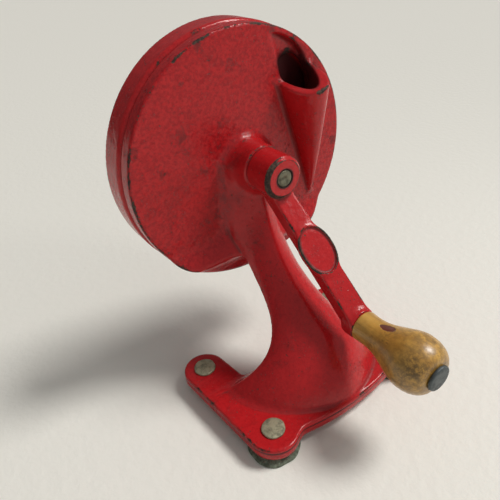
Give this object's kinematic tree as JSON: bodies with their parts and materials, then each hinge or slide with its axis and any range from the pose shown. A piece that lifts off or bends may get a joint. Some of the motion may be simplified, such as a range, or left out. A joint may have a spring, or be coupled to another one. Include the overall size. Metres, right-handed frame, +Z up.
{
  "type": "bean slicer",
  "caption": "Hand-cranked bean slicer: round cast plate with a feed chute on a flared neck and lobed foot, a knife wheel turning behind it, and a crank with a pear-shaped wooden handle.",
  "frame": {"origin": "bottom centre of the bounding box, on the table plane", "axes": "+Z up, -Y towards the crank side, +X to the right seen from the crank side"},
  "size_m": [0.14, 0.1589, 0.199],
  "materials": {
    "red_enamel": "gloss",
    "steel": "satin",
    "blade": "satin",
    "rivet": "satin",
    "rubber": "matte",
    "beech": "varnished"
  },
  "bodies": {
    "stand": {"body_casting": "red_enamel", "foot_front_left": "rubber", "foot_front_right": "rubber", "foot_rear_left": "rubber", "foot_rear_right": "rubber", "rivet_front_left": "rivet", "rivet_front_right": "rivet", "rivet_rear_left": "rivet", "rivet_rear_right": "rivet"},
    "rotor": {"spindle": "steel", "crank_arm": "red_enamel", "handle_pin": "steel", "cutter_wheel": "red_enamel", "knife_1": "blade", "knife_2": "blade", "knife_3": "blade", "knife_screw_1": "steel", "knife_screw_2": "steel", "knife_screw_3": "steel", "knife_screw_4": "steel", "knife_screw_5": "steel", "knife_screw_6": "steel", "wheel_washer": "steel", "wheel_nut": "steel"},
    "grip": {"wooden_handle": "beech"}
  },
  "joints": [
    {"name": "crank_turn", "type": "hinge", "parent": "stand", "child": "rotor", "pos_m": [0, 0.04965, 0.129], "axis": [0, -1, 0], "continuous": true},
    {"name": "handle_spin", "type": "hinge", "parent": "rotor", "child": "grip", "pos_m": [0.01313, -0.05, 0.05455], "axis": [0, -1, 0], "continuous": true}
  ]
}
